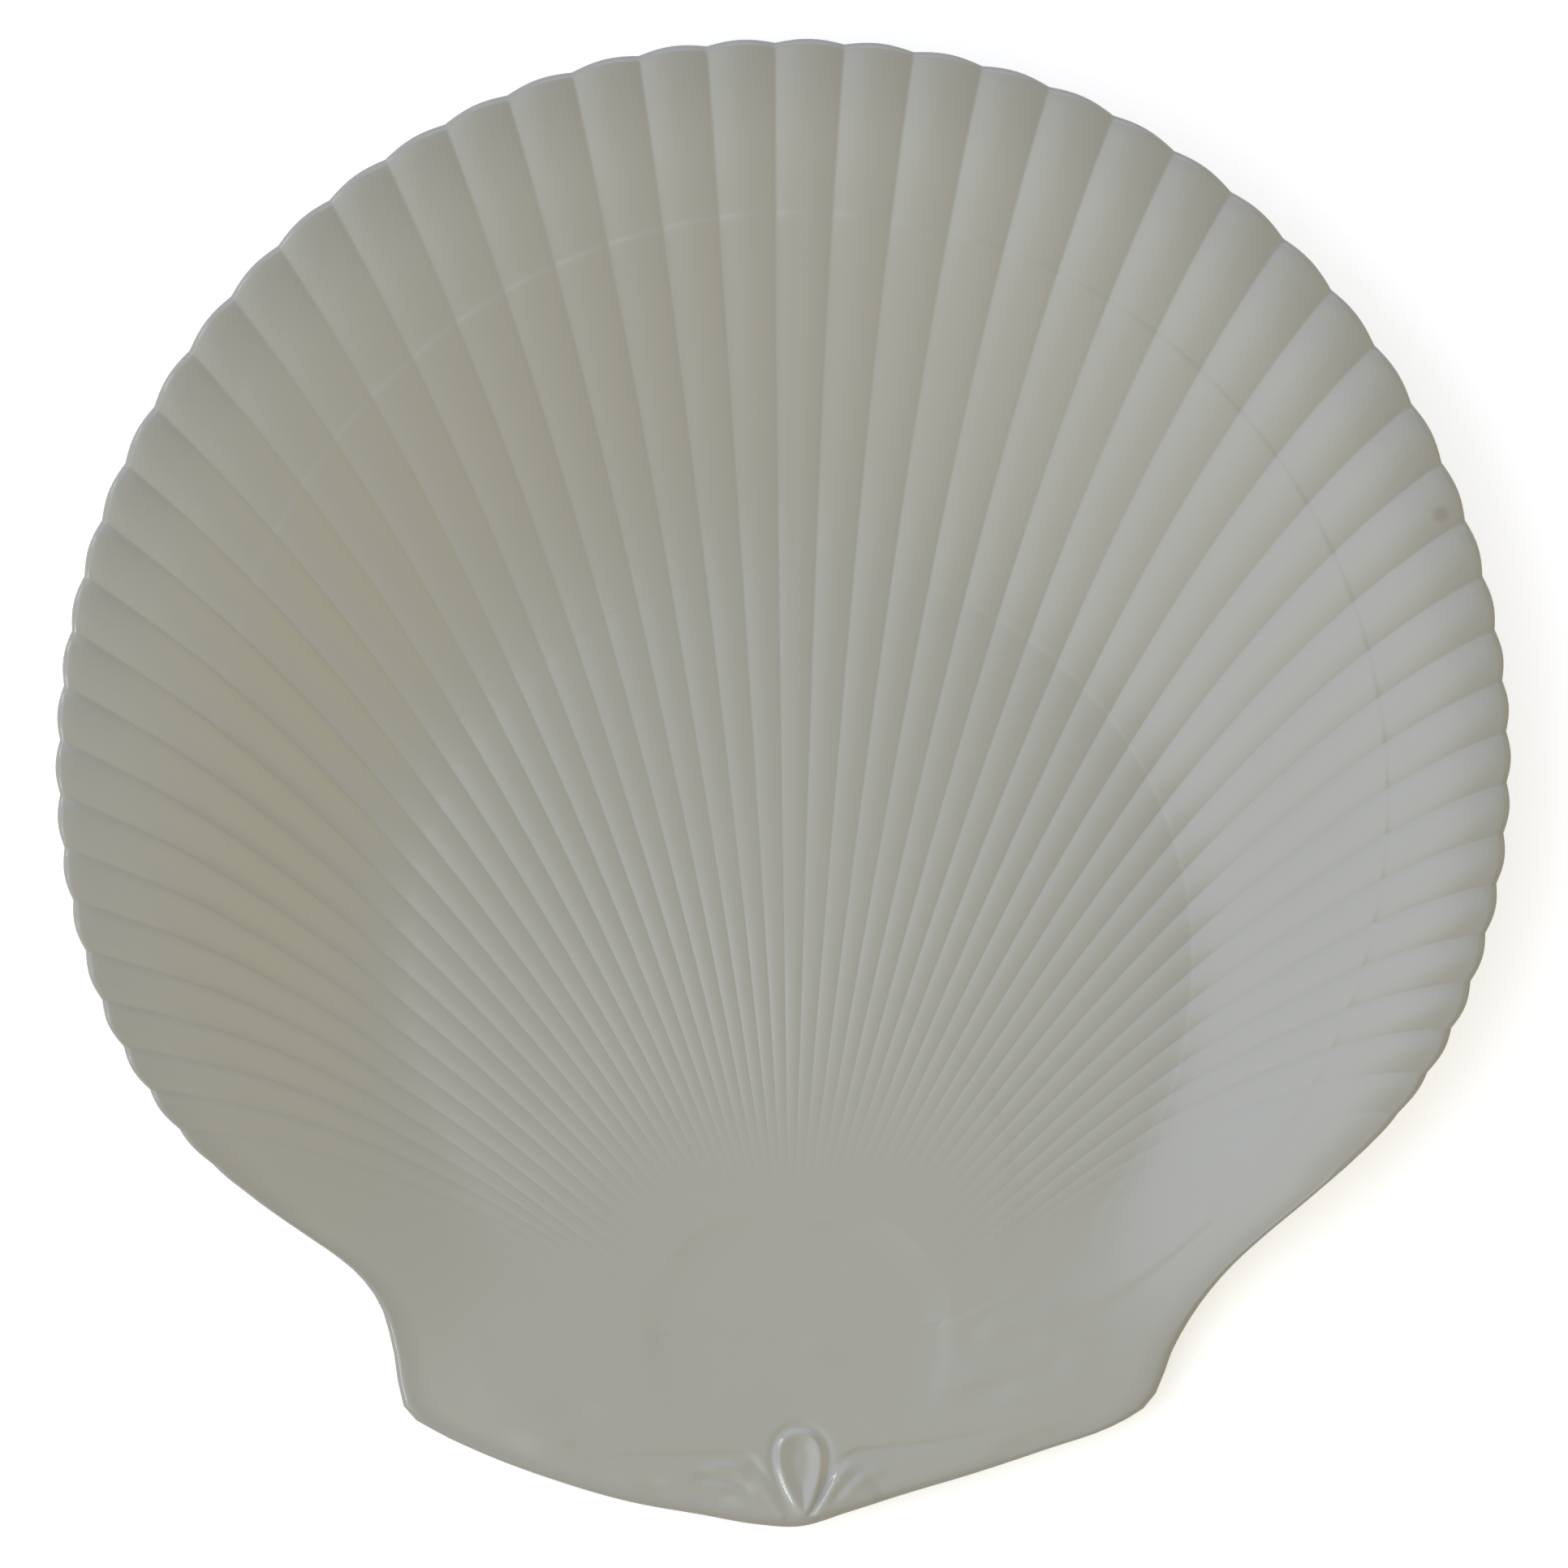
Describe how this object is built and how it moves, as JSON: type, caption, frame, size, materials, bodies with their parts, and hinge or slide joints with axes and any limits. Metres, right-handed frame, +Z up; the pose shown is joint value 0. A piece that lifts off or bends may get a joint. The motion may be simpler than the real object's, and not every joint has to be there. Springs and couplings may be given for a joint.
{
  "type": "shell shaped platter",
  "caption": "Scallop-shell platter: a fluted, fan-shaped dish with a flat well, a flared scalloped edge, an ornamented hinge and a foot ring, for serving food.",
  "frame": {"origin": "middle of the outline seen from above, on the surface that the foot ring stands on", "axes": "+Z up, +Y from the hinge to the top of the fan, +X to the right seen from above with the fan at the top"},
  "size_m": [0.3226, 0.33, 0.0359],
  "materials": {
    "glaze": "off-white glaze, smooth and glossy, all over but the foot's standing edge"
  },
  "bodies": {
    "root": {"platter": "glaze"}
  },
  "joints": []
}
